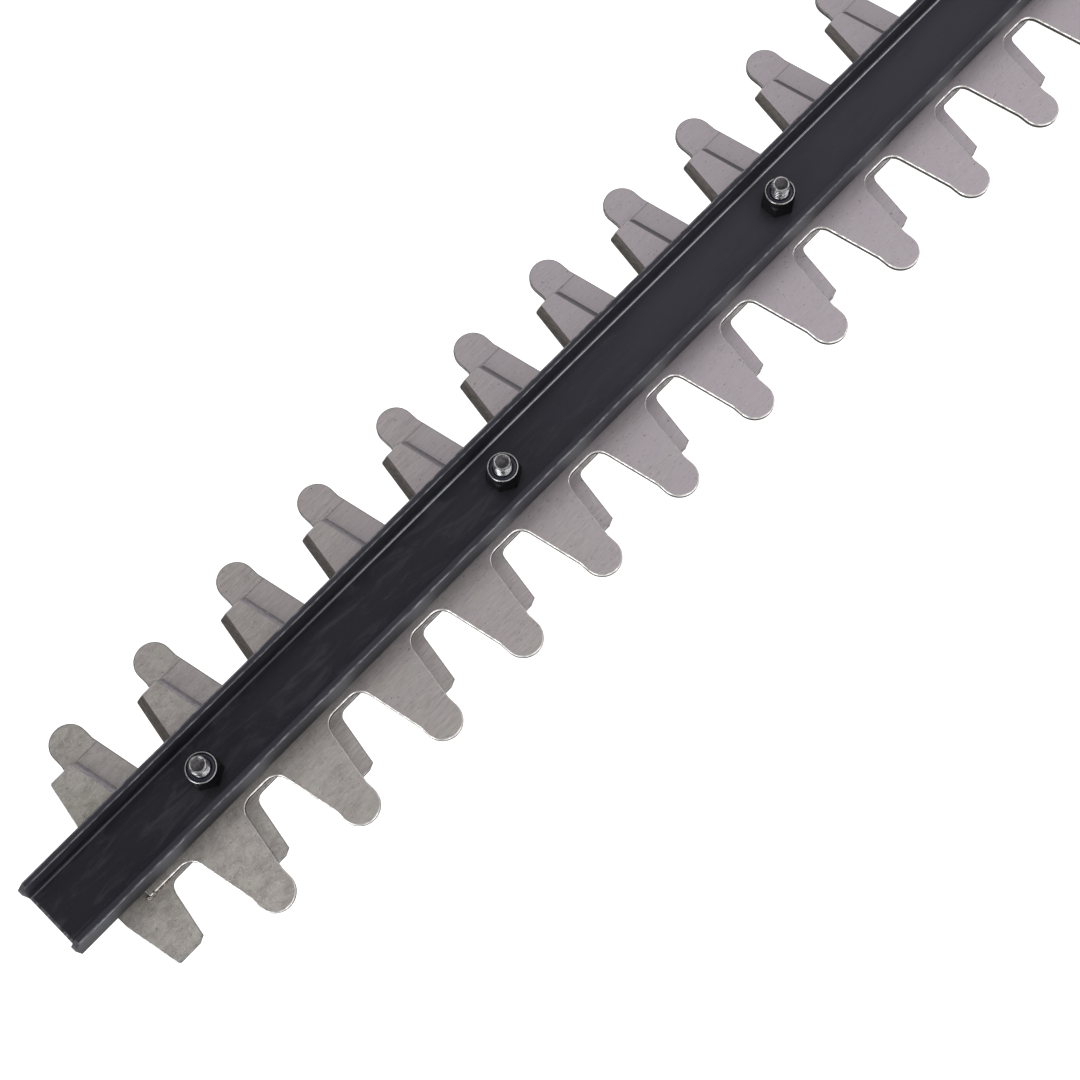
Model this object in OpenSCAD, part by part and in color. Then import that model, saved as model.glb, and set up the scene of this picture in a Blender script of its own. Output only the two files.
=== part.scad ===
// Double-sided hedge trimmer cutter bar with its gear head, in millimetres.
//
// Part frame: the origin is on the axis of the pole clamp, halfway along its bore.
// +X points out of the clamp's mouth, so the bar lies towards -X. +Z is up, away from the blades.
//
// Bar frame, used by the modules: x runs from the first bar bolt towards the gear head,
// and z = 0 is the top face of the upper blade. placed() takes the bar frame to the part frame.

/* [Blades] */
// Distance between neighbouring teeth on one side
pitch = 35; // [30:1:40]
// Number of long guard teeth on each side
long_teeth = 13; // [6:1:13]
// Thickness of one blade
blade_t = 2.1; // [1.8:0.1:2.5]
// Running gap between the two blades
blade_gap = 0.1; // [0.05:0.01:0.15]
// Distance from the bar's middle to the tip of a long tooth
long_reach = 45.1; // [40:0.1:50]
// Distance from the bar's middle to the tip of a short cutting tooth
short_reach = 33.1; // [30:0.1:36]
// Full stroke of one blade
stroke = 17.5; // [12:0.5:18]
// How far the upper blade stands before the place where the two sides line up
rest_lead = 3.35; // [0:0.05:8]

/* [Guide channel] */
// Outer width of the channel
channel_w = 25; // [22:0.5:26]
// Height of the channel from its underside to the flange tops
channel_h = 12.3; // [10:0.1:16]
// Wall thickness of the channel
channel_t = 2; // [1.5:0.1:2.5]
// Gap between the upper blade and the channel's underside
channel_lift = 3; // [2:0.1:4]
// Distance between neighbouring bar bolts
bolt_pitch = 127; // [110:1:130]
// Number of bolts along the toothed length
bar_bolt_count = 4; // [2:1:4]

/* [Gear head] */
// Distance from the first bar bolt to the crank axis
crank_x = 545; // [540:1:560]
// Height of the pole axis above the upper blade
pole_z = 19; // [18:0.5:22]
// Radius of the pole that the clamp holds
pole_r = 13; // [12:0.5:14]
// Length of the clamp's bore
clamp_len = 52; // [45:1:60]
// Distance between the eye centres of a connecting rod
rod_len = 58; // [54:1:60]
// Number of teeth on the input pinion
pinion_teeth = 10; // [10:1:12]
// Number of teeth on the crank gear
gear_teeth = 40; // [40:4:44]
// Tooth module of the bevel gears
gear_module = 1.4; // [1.2:0.05:1.4]

/* [Hidden] */

$fn = 64;
eps = 0.01;
cut = 1;                                // how far a cutting tool runs past the face it cuts

// Colours
steel = [0.62, 0.60, 0.59];
zinc = [0.72, 0.72, 0.73];
oxide = [0.13, 0.13, 0.15];
cast = [0.34, 0.35, 0.37];
bronze = [0.70, 0.52, 0.30];
nylon = [0.16, 0.17, 0.22];
felt = [0.30, 0.29, 0.27];

// Blade outline
long_tip_r = 6.25;                      // radius of a long tooth's round tip
long_neck = 9.7;                        // length of the tip before the flanks widen
long_taper = atan(0.184);               // lean of a long tooth's flanks
long_root = 13.4;                       // gullet line on the long-tooth side
long_fillet = 4.6;
short_tip = 5.3;                        // half width of a short tooth at its flat tip
short_taper = atan(0.179);
short_root = 14.2;                      // gullet line on the short-tooth side
short_fillet = 3;
short_nick = 0.6;                       // small chamfer at the leading corner of a short tooth
short_slant = [2.4, 0.75];              // longer one at its other corner, along and down
lead_bevel = 2.75;                      // width of the ground bevel on a short tooth's outer flank
trail_bevel = 2.05;                     // width of the bevel on its other flank
bevel_land = 0.7;                       // height left upright under a ground bevel
bevel_stop = 0.6;                       // a bevel ends this far from the gullet's corner
upper_long_x = -10.3;                   // first teeth of the two blades
upper_short_x = -29.6;
lower_long_x = -22.7;
lower_short_x = -38.8;
upper_end_x = -36.5;                    // square ends of the two blades
lower_end_x = -48;
tail_neck_x = 468;                      // where the blades narrow inside the gear case
tail_half = 10;
tail_corner = 4;
tail_end = 8;                           // tail beyond the rod pin's hole
pin_r = 4;

// Bolted stack along the bar
channel_end_x = -60.8;
channel_tail_x = 461;
channel_bend = 2.6;
channel_clip = 2.6;
bolt_r = 3;
bolt_hole_r = 3.25;
bush_r = 5;
slot_r = bush_r + 0.1;
slot_spare = 0.5;
head_bolts_x = [427, 451];
bar_bolts_x = [for (i = [0:bar_bolt_count - 1]) i * bolt_pitch];
all_bolts_x = concat(bar_bolts_x, head_bolts_x);
stack_low = -2 * blade_t - blade_gap;   // underside of the lower blade
run_gap = 0.2;                          // play above and below the pair of blades
washer_t = 1.8;
washer_r = 9;
spacer_r = 8;
hex_af = 10;
bolt_head_h = 4;
floor_top = channel_lift + channel_t;
nut_h = 4.8;
collar_r = 4.9;
collar_h = 3;
insert_r = 4.4;
bolt_top = 17.5;
thread_chamfer = 0.7;

// Crank mechanism
throw = stroke / 2;
rest_dx = throw - rest_lead;            // upper blade's distance from mid-stroke at rest
rest_dy = sqrt(throw * throw - rest_dx * rest_dx);
rod_dx = sqrt(rod_len * rod_len - rest_dy * rest_dy);
upper_pin_x = crank_x + rest_dx - rod_dx;
lower_pin_x = crank_x - rest_dx - rod_dx;
shaft_r = 6;
ecc_r = 16;
ecc_h = 5.2;
web_r = 20;
web_low = -4.6;
web_top = 0.4;
rod_t = 5;
rod_play = 0.2;
rod_bush_t = 1.5;
run_fit = 0.05;
rod_ring_r = 22;
rod_eye_r = 8;
rod_web = 5.5;
upper_rod_z = web_top + rod_play;
lower_rod_z = web_low - rod_play - rod_t;
gear_back = 6.2;
hub_r = 10;
hub_top = 15.5;
key_w = 3;

// Bevel gears: the cones' common apex is where the pole axis crosses the crank axis
gear_cone = atan(gear_teeth / pinion_teeth);
pinion_cone = 90 - gear_cone;
gear_r = gear_module * gear_teeth / 2;
cone_dist = gear_r / sin(gear_cone);
face_keep = 0.75;                       // inner end of the teeth as a share of the cone distance
tooth_half = 0.2 * PI * gear_module;
addendum = 0.79 * gear_module;
dedendum = 1.14 * gear_module;
gear_flank = 20;
pinion_flank = 8;
pinion_shaft_r = 5;

// Crank bearings, 12 x 28 x 8
bearing_w = 8;
bearing_or = 14;
race_t = 2.6;
race_gap = 0.4;
low_bearing_z = -19.5;
top_bearing_z = 16;
// Input bearings, 10 x 22 x 6
in_bearing_w = 6;
in_bearing_or = 11;
in_race_t = 1.8;
in_bearings_x = [crank_x + 33.5, crank_x + 47];
circlip_x = in_bearings_x[1] + in_bearing_w + 0.1;
circlip_t = 1.2;
socket_w = 5.2;
socket_deep = 18;
shaft_end_x = crank_x + 59;

// Gear case
case_r = 36.5;
case_wall = 4.5;
nose_r = 29;
nose_x = crank_x - 57;
case_front_x = 463;
front_wall = 5;
case_low = -9.9;
case_top = 28;
roof_t = 4.5;
boss_r = 17.5;
gasket_t = 0.6;
plate_top = case_low - gasket_t;
plate_t = 4.5;
tongue_x = 416;
tongue_half = 12.5;
tongue_low = -12;
lug_r = 6;
case_screw_r = 2.5;
lug_ring_r = 37.5;
crank_lugs = [for (a = [35, 100], s = [-1, 1])
    [crank_x + lug_ring_r * cos(a), s * lug_ring_r * sin(a)]];
nose_lugs = [for (s = [-1, 1]) [nose_x - 12, s * 27.5]];
all_lugs = concat(crank_lugs, nose_lugs);
slot_half = 14.8;
neck_r = 17.5;
neck_x = crank_x + 8;
pinion_room = 9.8;
tube_stop_x = crank_x + 60;
mouth_x = tube_stop_x + clamp_len;
split_w = 2.4;
split_x = tube_stop_x + 8;
ear_half = 9;
ear_low = pole_z + 13.5;
ear_top = pole_z + 26;
ear_x = [split_x + 3, mouth_x - 2];
clamp_screw_z = pole_z + 20.5;
clamp_screws_x = [ear_x[0] + 9, ear_x[1] - 9];
rib_t = 3;
nipple_x = crank_x - 38;
lock_x = tube_stop_x + 4;

// Moves a shape from the bar frame to the part frame
module placed() {
    translate([clamp_len / 2 - mouth_x, 0, -pole_z]) children();
}

// Points of an arc
function arc(centre, r, from, to, steps) =
    [for (i = [0:steps]) centre + r * [cos(from + (to - from) * i / steps),
                                       sin(from + (to - from) * i / steps)]];

// Hollow corner between a gullet line at height root and a flank that leans inward by taper,
// on the side of the tooth that faces -x; base_x is where the two lines cross
function left_fillet(base_x, root, taper, r) =
    arc([base_x - r * tan(45 - taper / 2), root + r], r, 270, 360 - taper, 5);

// Mirrors a run of points about x = centre_x, keeping its left-to-right order
function turned(points, centre_x) =
    [for (i = [len(points) - 1:-1:0]) [2 * centre_x - points[i][0], points[i][1]]];

// One long tooth on the +y side, left to right, with its gullet corners
function long_base(x) = x - long_tip_r - (long_reach - long_neck - long_root) * tan(long_taper);
function long_tooth(x) =
    let (corner = left_fillet(long_base(x), long_root, long_taper, long_fillet))
    concat(corner,
           [[x - long_tip_r, long_reach - long_neck]],
           arc([x, long_reach - long_tip_r], long_tip_r, 180, 0, 20),
           [[x + long_tip_r, long_reach - long_neck]],
           turned(corner, x));

// One short cutting tooth on the +y side; the first one has no gullet on its left
function short_base(x) = x - short_tip - (short_reach - short_root) * tan(short_taper);
function short_tooth(x, first) =
    let (corner = left_fillet(short_base(x), short_root, short_taper, short_fillet),
         lead = [[x - short_tip, short_reach - short_nick],
                 [x - short_tip + short_nick, short_reach]],
         trail = [[x + short_tip - short_slant[0], short_reach],
                  [x + short_tip, short_reach - short_slant[1]]])
    concat(first ? [[short_base(x), short_root]] : corner,
           lead, trail, turned(corner, x));

// Whole outline of a blade: short teeth on +y, long teeth on -y
function blade_outline(long_x, short_x, shorts, end_x, tail_x) =
    let (far = [for (i = [0:shorts - 1]) each short_tooth(short_x + i * pitch, i == 0)],
         near = [for (i = [0:long_teeth - 1]) each long_tooth(long_x + i * pitch)])
    concat(far,
           [[tail_neck_x - tail_corner, short_root], [tail_neck_x, tail_half],
            [tail_x - tail_corner, tail_half], [tail_x, tail_half - tail_corner],
            [tail_x, tail_corner - tail_half], [tail_x - tail_corner, -tail_half],
            [tail_neck_x, -tail_half], [tail_neck_x - tail_corner, -long_root]],
           [for (i = [len(near) - 1:-1:0]) [near[i][0], -near[i][1]]],
           [[end_x, -long_root]]);

// Straight slot with round ends, from x0 to x1 between the end centres
module slot(x0, x1) {
    translate([x0, 0]) circle(slot_r);
    translate([x1, 0]) circle(slot_r);
    translate([x0, -slot_r]) square([x1 - x0, 2 * slot_r]);
}

// Wedge that grinds one flank of a short tooth, from its tip to just before the gullet's corner
module flank_wedge(w) {
    depth = blade_t - bevel_land;
    slope = depth / w;
    straight = short_reach - short_root - short_fillet * (1 - sin(short_taper));
    length = straight / cos(short_taper) - bevel_stop;
    translate([-short_tip, short_reach, 0])
        rotate([0, 0, -short_taper])
            translate([0, cut, 0])
                rotate([90, 0, 0])
                    linear_extrude(length + cut)
                        polygon([[-cut, -depth - cut * slope], [w + cut, cut * slope],
                                 [-cut, cut * slope]]);
}

// A blade with its top face at z = 0; back and ahead give the slots' reach from each bolt
module blade(long_x, short_x, shorts, end_x, pin_x, back, ahead) {
    difference() {
        translate([0, 0, -blade_t]) linear_extrude(blade_t) difference() {
            polygon(blade_outline(long_x, short_x, shorts, end_x, pin_x + tail_end));
            for (x = bar_bolts_x) slot(x - back, x + ahead);
            slot(head_bolts_x[0] - back, head_bolts_x[1] + ahead);
            translate([pin_x, 0]) circle(pin_r);
        }
        for (i = [0:shorts - 1]) translate([short_x + i * pitch, 0, 0]) {
            if (i > 0) flank_wedge(lead_bevel);
            mirror([1, 0, 0]) flank_wedge(trail_bevel);
        }
    }
}

module upper_blade() {
    color(steel) placed()
        blade(upper_long_x, upper_short_x, long_teeth, upper_end_x, upper_pin_x,
              rest_lead + slot_spare, stroke - rest_lead + slot_spare);
}

module lower_blade() {
    color(steel) placed() translate([0, 0, stack_low]) mirror([0, 0, 1]) mirror([0, 1, 0])
        blade(lower_long_x, lower_short_x, long_teeth + 1, lower_end_x, lower_pin_x,
              stroke - rest_lead + slot_spare, rest_lead + slot_spare);
}

// Rounded U section, open at the top, with its underside at y = 0
module channel_section() {
    inner_bend = channel_bend - channel_t;
    half = channel_w / 2;
    difference() {
        union() {
            translate([-half, channel_bend]) square([channel_w, channel_h - channel_bend]);
            translate([channel_bend - half, 0])
                square([channel_w - 2 * channel_bend, channel_bend + eps]);
            for (s = [-1, 1]) translate([s * (half - channel_bend), channel_bend])
                circle(channel_bend);
        }
        translate([channel_t - half, channel_bend])
            square([channel_w - 2 * channel_t, channel_h]);
        translate([channel_bend - half, channel_t])
            square([channel_w - 2 * channel_bend, channel_h]);
        for (s = [-1, 1]) translate([s * (half - channel_bend), channel_bend])
            circle(inner_bend);
    }
}

module guide_channel() {
    color(oxide) placed() difference() {
        translate([channel_end_x, 0, channel_lift]) rotate([90, 0, 90])
            linear_extrude(channel_tail_x - channel_end_x) channel_section();
        for (x = all_bolts_x)
            translate([x, 0, channel_lift - cut]) cylinder(h = channel_t + 2 * cut, r = bolt_hole_r);
        translate([channel_end_x, channel_w, channel_lift + channel_h]) rotate([90, 0, 0])
            linear_extrude(2 * channel_w)
                polygon([[-cut, -channel_clip - cut], [channel_clip + cut, cut], [-cut, cut]]);
    }
}

module slide_bushes() {
    color(zinc) placed() for (x = all_bolts_x)
        translate([x, 0, stack_low - run_gap]) difference() {
            cylinder(h = run_gap * 2 - stack_low, r = bush_r);
            translate([0, 0, -cut]) cylinder(h = 2 * cut + run_gap * 2 - stack_low, r = bolt_hole_r);
        }
}

module channel_spacers() {
    color(oxide) placed() for (x = all_bolts_x) translate([x, 0, run_gap]) difference() {
        cylinder(h = channel_lift - run_gap, r = spacer_r);
        translate([0, 0, -cut]) cylinder(h = channel_lift + 2 * cut, r = bolt_hole_r);
    }
}

module bolt_washers() {
    color(zinc) placed() for (x = bar_bolts_x)
        translate([x, 0, stack_low - run_gap - washer_t]) difference() {
            cylinder(h = washer_t, r = washer_r);
            translate([0, 0, -cut]) cylinder(h = washer_t + 2 * cut, r = bolt_hole_r);
        }
}

// Hexagon bolt standing upside down: its head's upper face is at z = seat
module hex_bolt(seat, top) {
    translate([0, 0, seat - bolt_head_h]) rotate([0, 0, 30])
        cylinder(h = bolt_head_h, r = hex_af / sqrt(3), $fn = 6);
    translate([0, 0, seat - eps]) cylinder(h = top - thread_chamfer - seat + eps, r = bolt_r);
    translate([0, 0, top - thread_chamfer])
        cylinder(h = thread_chamfer, r1 = bolt_r, r2 = bolt_r - thread_chamfer);
}

module bar_bolts() {
    color(zinc) placed() for (x = bar_bolts_x)
        translate([x, 0, 0]) hex_bolt(stack_low - run_gap - washer_t, bolt_top);
}

module head_bolts() {
    color(zinc) placed() for (x = head_bolts_x)
        translate([x, 0, 0]) hex_bolt(tongue_low, bolt_top);
}

// Locking nut: a hexagon with a round collar that holds a nylon ring
module bar_nuts() {
    color(oxide) placed() for (x = all_bolts_x) translate([x, 0, floor_top]) difference() {
        union() {
            rotate([0, 0, 30]) cylinder(h = nut_h, r = hex_af / sqrt(3), $fn = 6);
            cylinder(h = nut_h + collar_h, r = collar_r);
        }
        translate([0, 0, -cut]) cylinder(h = nut_h + 2 * cut, r = bolt_r + eps);
        translate([0, 0, nut_h]) cylinder(h = collar_h + cut, r = insert_r);
    }
}

module nut_inserts() {
    color(nylon) placed() for (x = all_bolts_x) translate([x, 0, floor_top + nut_h]) difference() {
        cylinder(h = collar_h - 0.3, r = insert_r);
        translate([0, 0, -cut]) cylinder(h = collar_h + 2 * cut, r = bolt_r + eps);
    }
}

// Two circles on the x axis joined by their outer tangents; the one at x1 is the larger
module teardrop(x0, r0, x1, r1) {
    lean = asin((r1 - r0) / (x1 - x0));
    polygon(concat(arc([x1, 0], r1, -90 - lean, 90 + lean, 48),
                   arc([x0, 0], r0, 90 + lean, 270 - lean, 36)));
}

// Outer outline of the gear case, with the lugs of its screws
module case_outline() {
    difference() {
        union() {
            teardrop(nose_x, nose_r, crank_x, case_r);
            for (p = all_lugs) translate(p) circle(lug_r);
        }
        translate([case_front_x - 2 * nose_r, -2 * nose_r]) square([2 * nose_r, 4 * nose_r]);
    }
}

// Outline of the room inside the case
module case_room() {
    difference() {
        teardrop(nose_x, nose_r - case_wall, crank_x, case_r - case_wall);
        translate([case_front_x - 2 * nose_r, -2 * nose_r])
            square([2 * nose_r + front_wall, 4 * nose_r]);
    }
}

// Cylinder along +x from x0 to x1 on the pole's axis
module along_pole(x0, x1, r) {
    translate([x0, 0, pole_z]) rotate([0, 90, 0]) cylinder(h = x1 - x0, r = r);
}

module gear_case() {
    color(cast) placed() difference() {
        union() {
            translate([0, 0, case_low]) linear_extrude(case_top - case_low) case_outline();
            along_pole(neck_x, mouth_x, neck_r);
            translate([ear_x[0], -ear_half, ear_low])
                cube([ear_x[1] - ear_x[0], 2 * ear_half, ear_top - ear_low]);
            for (s = [-1, 1]) translate([crank_x + 30, s * (neck_r - rib_t) - rib_t / 2, case_low + 4])
                cube([split_x - crank_x - 34, rib_t, pole_z - case_low - 4]);
        }
        // room for the crank, leaving a boss around the upper bearing
        difference() {
            translate([0, 0, case_low - cut])
                linear_extrude(case_top - roof_t - case_low + cut) case_room();
            translate([crank_x, 0, top_bearing_z]) cylinder(h = case_top, r = boss_r);
        }
        translate([crank_x, 0, top_bearing_z - cut]) cylinder(h = bearing_w + cut, r = bearing_or);
        // slot for the blades, with the wiper's groove above it
        translate([case_front_x - cut, -slot_half, case_low - cut])
            cube([front_wall + 2 * cut, 2 * slot_half, cut - case_low + 0.5]);
        translate([case_front_x + 1, -slot_half, 0])
            cube([3, 2 * slot_half, 3]);
        // pinion, its bearings, the circlip's groove and the pole
        along_pole(crank_x + boss_r, in_bearings_x[0], pinion_room);
        along_pole(in_bearings_x[0], circlip_x + circlip_t, in_bearing_or);
        along_pole(circlip_x, circlip_x + circlip_t, in_bearing_or + 0.8);
        along_pole(in_bearings_x[0], tube_stop_x + eps, in_bearing_or - 1);
        along_pole(tube_stop_x, mouth_x + cut, pole_r);
        // split of the clamp and its screws
        translate([split_x, -split_w / 2, pole_z])
            cube([mouth_x - split_x + cut, split_w, ear_top - pole_z + cut]);
        for (x = clamp_screws_x) translate([x, 0, clamp_screw_z]) rotate([90, 0, 0]) {
            cylinder(h = 2 * ear_half, r = case_screw_r);
            translate([0, 0, -ear_half - cut]) cylinder(h = ear_half + cut, r = case_screw_r + 0.25);
        }
        translate([lock_x, 0, pole_z]) rotate([90, 0, 0]) cylinder(h = neck_r + cut, r = bolt_r);
        // screw holes in the lugs, and the grease hole
        for (p = all_lugs) translate([p[0], p[1], case_low - cut])
            cylinder(h = 16 + cut, r = case_screw_r);
        translate([nipple_x, 0, 0]) cylinder(h = case_top + cut, r = bolt_r);
    }
}

// Floor of the gear case, with a tongue that carries the bar
module base_plate() {
    color(cast) placed() difference() {
        union() {
            translate([0, 0, plate_top - plate_t]) linear_extrude(plate_t) case_outline();
            translate([crank_x, 0, low_bearing_z - 2.5])
                cylinder(h = plate_top - low_bearing_z + 2.5 - eps, r = boss_r);
            translate([tongue_x, -tongue_half, tongue_low])
                cube([case_front_x - tongue_x + front_wall, 2 * tongue_half,
                      stack_low - run_gap - tongue_low]);
            for (s = [-1, 1]) translate([tongue_x + 12, s * (tongue_half - rib_t) - rib_t / 2,
                                         plate_top - plate_t])
                cube([case_front_x - tongue_x, rib_t, tongue_low - plate_top + plate_t + cut]);
        }
        translate([crank_x, 0, low_bearing_z]) cylinder(h = 20, r = bearing_or);
        for (x = head_bolts_x) translate([x, 0, tongue_low - 2 * plate_t])
            cylinder(h = 20, r = bolt_hole_r);
        for (p = all_lugs) translate([p[0], p[1], plate_top - plate_t - cut])
            cylinder(h = plate_t + 2 * cut, r = case_screw_r + 0.3);
    }
}

module case_gasket() {
    color(nylon) placed() difference() {
        translate([0, 0, plate_top]) linear_extrude(gasket_t) case_outline();
        translate([0, 0, plate_top - cut]) linear_extrude(gasket_t + 2 * cut) case_room();
        translate([case_front_x - cut, -slot_half, plate_top - cut])
            cube([front_wall + 2 * cut, 2 * slot_half, gasket_t + 2 * cut]);
        for (p = all_lugs) translate([p[0], p[1], plate_top - cut])
            cylinder(h = gasket_t + 2 * cut, r = case_screw_r + 0.3);
    }
}

// Cap screw with a hexagon socket; its head's inner face is at z = 0 and the shank points to +z
module cap_screw(r, head_r, head_h, shank) {
    difference() {
        translate([0, 0, -head_h]) cylinder(h = head_h + eps, r = head_r);
        translate([0, 0, -head_h - cut]) cylinder(h = head_h * 0.55 + cut, r = head_r * 0.55, $fn = 6);
    }
    cylinder(h = shank, r = r - 0.1);
}

module case_screws() {
    color(zinc) placed() for (p = all_lugs) translate([p[0], p[1], plate_top - plate_t])
        cap_screw(case_screw_r, 4.25, 5, 18);
}

module clamp_screws() {
    color(zinc) placed() for (x = clamp_screws_x)
        translate([x, ear_half, clamp_screw_z]) rotate([90, 0, 0])
            cap_screw(case_screw_r, 4.25, 5, 2 * ear_half);
}

module tube_lock_screw() {
    color(zinc) placed() translate([lock_x, -neck_r, pole_z]) rotate([-90, 0, 0])
        cap_screw(bolt_r, 5, 6, neck_r - pole_r - 0.2);
}

module blade_wiper() {
    color(felt) placed() translate([case_front_x + 1.05, 0.05 - slot_half, 0.15])
        cube([2.9, 2 * slot_half - 0.1, 2.8]);
}

module grease_nipple() {
    color(zinc) placed() translate([nipple_x, 0, case_top]) {
        translate([0, 0, -roof_t]) cylinder(h = roof_t + eps, r = bolt_r - 0.05);
        rotate([0, 0, 30]) cylinder(h = 3, r = 4.1, $fn = 6);
        translate([0, 0, 3 - eps]) cylinder(h = 2.5, r = 2.1);
        translate([0, 0, 5.4]) cylinder(h = 1.2, r1 = 2.1, r2 = 3.1);
        translate([0, 0, 6.6 - eps]) cylinder(h = 1.6, r1 = 3.1, r2 = 1.6);
    }
}

// Ring along +z between the radii r0 and r1
module ring(h, r0, r1) {
    difference() {
        cylinder(h = h, r = r1);
        translate([0, 0, -cut]) cylinder(h = h + 2 * cut, r = r0);
    }
}

// Shaft with two eccentrics half a turn apart
module crankshaft() {
    color(zinc) placed() translate([crank_x, 0, 0]) difference() {
        union() {
            translate([0, 0, low_bearing_z + 0.3])
                cylinder(h = top_bearing_z + bearing_w - low_bearing_z - 0.6, r = shaft_r);
            translate([0, 0, web_low]) cylinder(h = web_top - web_low, r = web_r);
            translate([rest_dx, rest_dy, web_top - eps]) cylinder(h = ecc_h + eps, r = ecc_r);
            translate([-rest_dx, -rest_dy, web_low - ecc_h]) cylinder(h = ecc_h + eps, r = ecc_r);
        }
        translate([shaft_r - key_w / 2, -key_w / 2, gear_back])
            cube([key_w, key_w, hub_top - gear_back]);
    }
}

module crank_key() {
    color(steel) placed() translate([crank_x + shaft_r - key_w / 2, -key_w / 2, gear_back])
        cube([key_w, key_w, hub_top - gear_back]);
}

// One straight bevel tooth towards +x, for a gear whose axis is z and whose apex is the origin.
// The root line lies a little under the blank's surface.
module bevel_tooth(cone, flank) {
    sunk = dedendum + 0.3;
    function spot(keep, h, side) = keep * [
        cone_dist * sin(cone) + h * cos(cone),
        side * (tooth_half - h * tan(flank)),
        cone_dist * cos(cone) - h * sin(cone)];
    polyhedron(
        points = [for (keep = [1, face_keep]) each
            [spot(keep, -sunk, 1), spot(keep, addendum, 1),
             spot(keep, addendum, -1), spot(keep, -sunk, -1)]],
        faces = [[0, 1, 2, 3], [7, 6, 5, 4], [4, 5, 1, 0], [5, 6, 2, 1], [6, 7, 3, 2], [7, 4, 0, 3]]);
}

// Radius and axial distance of a bevel gear's root line at a share of the cone distance
function root_spot(cone, keep) = keep * [cone_dist * sin(cone) - dedendum * cos(cone),
                                         cone_dist * cos(cone) + dedendum * sin(cone)];

module crank_gear() {
    outer = root_spot(gear_cone, 1);
    inner = root_spot(gear_cone, face_keep);
    color(steel) placed() translate([crank_x, 0, 0]) difference() {
        union() {
            rotate_extrude() polygon([
                [shaft_r, gear_back], [outer[0], gear_back], [outer[0], pole_z - outer[1]],
                [inner[0], pole_z - inner[1]], [inner[0] - 1, gear_back + 4.5],
                [hub_r, gear_back + 4.5], [hub_r, hub_top], [shaft_r, hub_top]]);
            translate([0, 0, pole_z]) mirror([0, 0, 1]) for (i = [0:gear_teeth - 1])
                rotate([0, 0, i * 360 / gear_teeth]) bevel_tooth(gear_cone, gear_flank);
        }
        translate([0, -key_w / 2, gear_back - cut])
            cube([shaft_r + key_w / 2, key_w, hub_top - gear_back + 2 * cut]);
    }
}

module crank_bearing_inners() {
    color(zinc) placed() for (z = [low_bearing_z, top_bearing_z])
        translate([crank_x, 0, z]) ring(bearing_w, shaft_r, shaft_r + race_t);
}

// Outer rings with the shields that cover the balls
module crank_bearing_outers() {
    color(zinc) placed() for (z = [low_bearing_z, top_bearing_z]) translate([crank_x, 0, z]) {
        ring(bearing_w, bearing_or - race_t, bearing_or);
        translate([0, 0, 0.4]) ring(bearing_w - 0.8, shaft_r + race_t + race_gap, bearing_or - eps);
    }
}

// Connecting rod with its big eye at the origin and its small eye at [-rod_len, 0]
module con_rod() {
    linear_extrude(rod_t) difference() {
        union() {
            circle(rod_ring_r);
            translate([-rod_len, 0]) circle(rod_eye_r);
            translate([-rod_len, -rod_web]) square([rod_len, 2 * rod_web]);
        }
        circle(ecc_r + rod_bush_t);
        translate([-rod_len, 0]) circle(pin_r);
    }
}

// Bronze bush that turns on the eccentric
module rod_bush() {
    ring(rod_t, ecc_r + run_fit, ecc_r + rod_bush_t);
}

// Headed pin of the small eye, ending just short of the blade
module rod_pin() {
    translate([-rod_len, 0, 0]) {
        cylinder(h = rod_t, r = pin_r);
        translate([0, 0, rod_t - eps]) cylinder(h = 0.5, r = pin_r + 1.5);
    }
}

// Places a rod on its eccentric: side is 1 for the upper rod and -1 for the lower one
module on_eccentric(side) {
    translate([crank_x + side * rest_dx, side * rest_dy, side > 0 ? upper_rod_z : lower_rod_z])
        rotate([0, 0, side * asin(rest_dy / rod_len)]) children();
}

module upper_con_rod() { color(steel) placed() on_eccentric(1) con_rod(); }
module upper_rod_bush() { color(bronze) placed() on_eccentric(1) rod_bush(); }
module upper_rod_pin() { color(zinc) placed() on_eccentric(1) rod_pin(); }
module lower_con_rod() { color(steel) placed() on_eccentric(-1) con_rod(); }
module lower_rod_bush() { color(bronze) placed() on_eccentric(-1) rod_bush(); }
module lower_rod_pin() {
    color(zinc) placed() on_eccentric(-1) translate([0, 0, rod_t]) mirror([0, 0, 1]) rod_pin();
}

module input_pinion() {
    outer = root_spot(pinion_cone, 1);
    inner = root_spot(pinion_cone, face_keep);
    color(steel) placed() translate([crank_x, 0, pole_z]) rotate([0, 90, 0]) difference() {
        union() {
            translate([0, 0, inner[1]])
                cylinder(h = outer[1] - inner[1], r1 = inner[0], r2 = outer[0]);
            translate([0, 0, outer[1] - eps])
                cylinder(h = in_bearings_x[0] - crank_x - outer[1] + eps, r = outer[0] + 1);
            translate([0, 0, in_bearings_x[0] - crank_x - eps])
                cylinder(h = shaft_end_x - in_bearings_x[0] + eps, r = pinion_shaft_r);
            for (i = [0:pinion_teeth - 1]) rotate([0, 0, (i + 0.5) * 360 / pinion_teeth])
                bevel_tooth(pinion_cone, pinion_flank);
        }
        translate([-socket_w / 2, -socket_w / 2, shaft_end_x - crank_x - socket_deep])
            cube([socket_w, socket_w, socket_deep + cut]);
    }
}

// Children placed on the pole's axis at x, with +z turned to +x
module on_pole(x) {
    translate([x, 0, pole_z]) rotate([0, 90, 0]) children();
}

module input_bearing_inners() {
    color(zinc) placed() for (x = in_bearings_x)
        on_pole(x) ring(in_bearing_w, pinion_shaft_r, pinion_shaft_r + in_race_t);
}

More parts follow.
